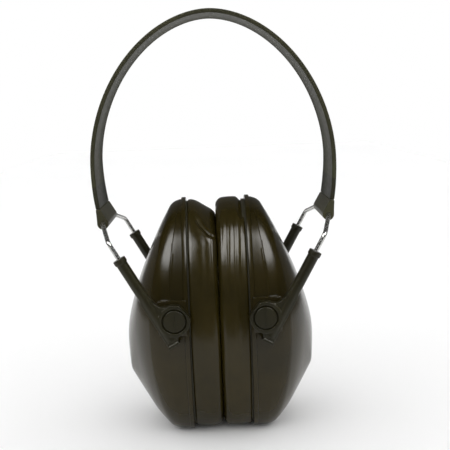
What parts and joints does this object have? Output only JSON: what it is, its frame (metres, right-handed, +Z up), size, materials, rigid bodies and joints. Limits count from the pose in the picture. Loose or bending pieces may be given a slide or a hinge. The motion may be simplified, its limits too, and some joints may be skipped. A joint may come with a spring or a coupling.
{
  "type": "hearing protection earmuffs",
  "caption": "Folding over-the-head hearing protection earmuffs: sprung headband, wire yokes, sliding arms, tilting ear cups and vinyl cushions, standing closed on the cups.",
  "frame": {"origin": "on the surface it stands on, under the middle of the two cups", "axes": "+Z up through the headband's crown, +X to the right-hand cup as seen from the front, -Y the front"},
  "size_m": [0.1118, 0.0868, 0.1937],
  "materials": {
    "headband_plastic": "satin moulded, olive drab",
    "spring_steel": "cold-rolled strip",
    "band_end_plastic": "satin moulded, dark olive",
    "wire_steel": "drawn stainless wire",
    "arm_plastic": "satin moulded, dark olive",
    "pivot_plastic": "satin moulded, dark olive",
    "shell_plastic": "glossy moulded, olive drab",
    "plate_plastic": "moulded, dark olive",
    "liner_foam": "open-cell foam, charcoal",
    "ring_plastic": "moulded, dark olive",
    "cushion_foam": "soft polyurethane foam",
    "cushion_vinyl": "glossy vinyl sheet, olive drab"
  },
  "bodies": {
    "crown": {"headband_cover_crown": "headband_plastic", "headband_spring_crown": "spring_steel"},
    "band_left": {"headband_cover_left": "headband_plastic", "headband_spring_left": "spring_steel", "band_end_left": "band_end_plastic"},
    "yoke_left": {"wire_yoke_left": "wire_steel"},
    "arms_left": {"arm_front_left": "arm_plastic", "arm_rear_left": "arm_plastic"},
    "cup_left": {"cup_shell_left": "shell_plastic", "cup_plate_left": "plate_plastic", "foam_liner_left": "liner_foam", "cushion_ring_left": "ring_plastic", "cushion_foam_left": "cushion_foam", "cushion_skin_left": "cushion_vinyl", "pivot_stud_front_left": "pivot_plastic", "pivot_stud_rear_left": "pivot_plastic"},
    "band_right": {"headband_cover_right": "headband_plastic", "headband_spring_right": "spring_steel", "band_end_right": "band_end_plastic"},
    "yoke_right": {"wire_yoke_right": "wire_steel"},
    "arms_right": {"arm_front_right": "arm_plastic", "arm_rear_right": "arm_plastic"},
    "cup_right": {"cup_shell_right": "shell_plastic", "cup_plate_right": "plate_plastic", "foam_liner_right": "liner_foam", "cushion_ring_right": "ring_plastic", "cushion_foam_right": "cushion_foam", "cushion_skin_right": "cushion_vinyl", "pivot_stud_front_right": "pivot_plastic", "pivot_stud_rear_right": "pivot_plastic"}
  },
  "joints": [
    {"name": "flex_left", "type": "hinge", "parent": "crown", "child": "band_left", "pos_m": [-0.03493, 0, 0.17672], "axis": [0, 1, 0], "range_deg": [0, 30], "stiffness_Nm_per_rad": 2.4, "springref_deg": -5.16},
    {"name": "swing_left", "type": "hinge", "parent": "band_left", "child": "yoke_left", "pos_m": [-0.0514, 0, 0.0993], "axis": [0, 1, 0], "range_deg": [0, 75]},
    {"name": "height_left", "type": "slide", "parent": "yoke_left", "child": "arms_left", "axis": [0.4924, 0, -0.8704], "range_m": [-0.005, 0.01]},
    {"name": "tilt_left", "type": "hinge", "parent": "arms_left", "child": "cup_left", "pos_m": [-0.02, 0, 0.0583], "axis": [0, 1, 0], "range_deg": [-8, 8], "deforming": ["cushion_skin_left", "cushion_foam_left"]},
    {"name": "flex_right", "type": "hinge", "parent": "crown", "child": "band_right", "pos_m": [0.03493, 0, 0.17672], "axis": [0, -1, 0], "range_deg": [0, 30], "stiffness_Nm_per_rad": 2.4, "springref_deg": -5.16},
    {"name": "swing_right", "type": "hinge", "parent": "band_right", "child": "yoke_right", "pos_m": [0.0514, 0, 0.0993], "axis": [0, -1, 0], "range_deg": [0, 75]},
    {"name": "height_right", "type": "slide", "parent": "yoke_right", "child": "arms_right", "axis": [-0.4924, 0, -0.8704], "range_m": [-0.005, 0.01]},
    {"name": "tilt_right", "type": "hinge", "parent": "arms_right", "child": "cup_right", "pos_m": [0.02, 0, 0.0583], "axis": [0, -1, 0], "range_deg": [-8, 8], "deforming": ["cushion_skin_right", "cushion_foam_right"]}
  ],
  "couplings": [
    {"joint": "flex_right", "follows": "flex_left", "ratio": 1}
  ]
}
